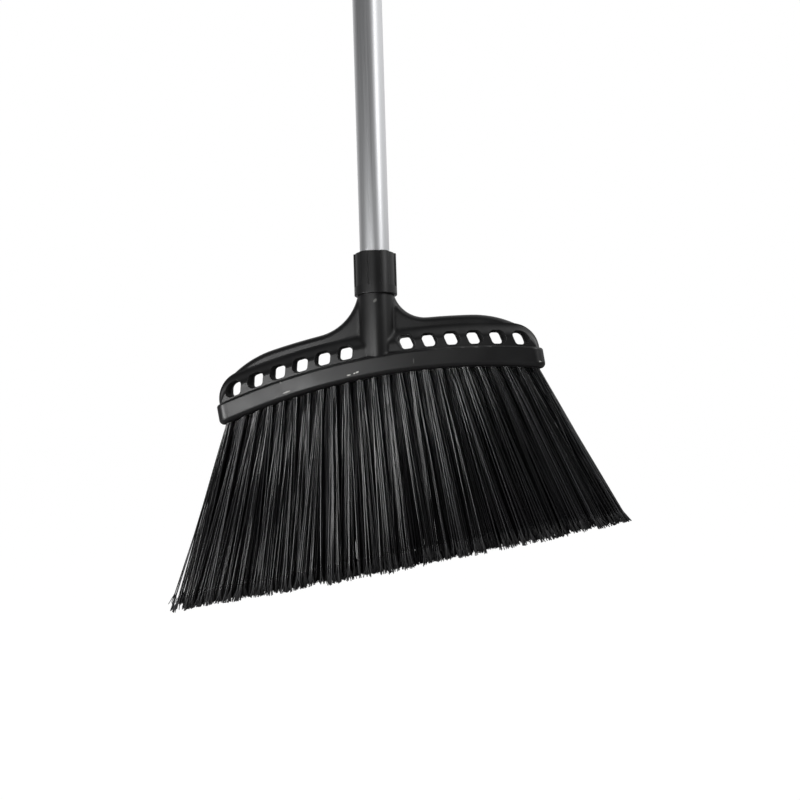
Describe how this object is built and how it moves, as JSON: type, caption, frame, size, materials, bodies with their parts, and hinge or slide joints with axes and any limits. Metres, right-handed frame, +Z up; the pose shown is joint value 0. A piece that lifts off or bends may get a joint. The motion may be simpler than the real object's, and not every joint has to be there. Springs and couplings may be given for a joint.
{
  "type": "angle broom",
  "caption": "Angle broom with an arched, windowed head of splayed bristle tufts, clamped by a fluted screw collar on a straight tube handle with a hanging eye.",
  "frame": {"origin": "on the handle tube's axis at the line rolled in it that shows how far it goes in, 2 mm above the collar", "axes": "+Z up the handle, -Y out of the front, +X to the right of someone who faces the front"},
  "size_m": [0.3796, 0.0372, 1.4796],
  "materials": {
    "drawn_aluminium": "satin drawn tube",
    "black_plastic": "satin moulded polypropylene",
    "natural_nylon": "natural moulded nylon",
    "black_filament": "extruded synthetic filament",
    "anchor_wire": "galvanised flat wire"
  },
  "bodies": {
    "handle": {"handle_tube": "drawn_aluminium", "hanger_cap": "black_plastic", "foot_plug": "black_plastic"},
    "head": {"head_block": "black_plastic", "bristle_row_1": "black_filament", "bristle_row_2": "black_filament", "bristle_row_3": "black_filament", "bristle_row_4": "black_filament", "tuft_anchors_1": "anchor_wire", "tuft_anchors_2": "anchor_wire", "tuft_anchors_3": "anchor_wire", "tuft_anchors_4": "anchor_wire"},
    "collet": {"grip_collet": "natural_nylon"},
    "collar": {"locking_collar": "black_plastic"}
  },
  "joints": [
    {"name": "head_pull_off", "type": "slide", "parent": "handle", "child": "head", "axis": [0, 0, -1], "range_m": [0, 0.075]},
    {"name": "collet_lift", "type": "slide", "parent": "head", "child": "collet", "axis": [0, 0, 1], "range_m": [0, 0.003]},
    {"name": "collar_turn", "type": "hinge", "parent": "collet", "child": "collar", "pos_m": [0, 0, -0.02], "axis": [0, 0, 1], "range_deg": [0, 270]}
  ],
  "couplings": [
    {"joint": "collar_turn", "follows": "collet_lift", "rad_per_m": 1570}
  ]
}
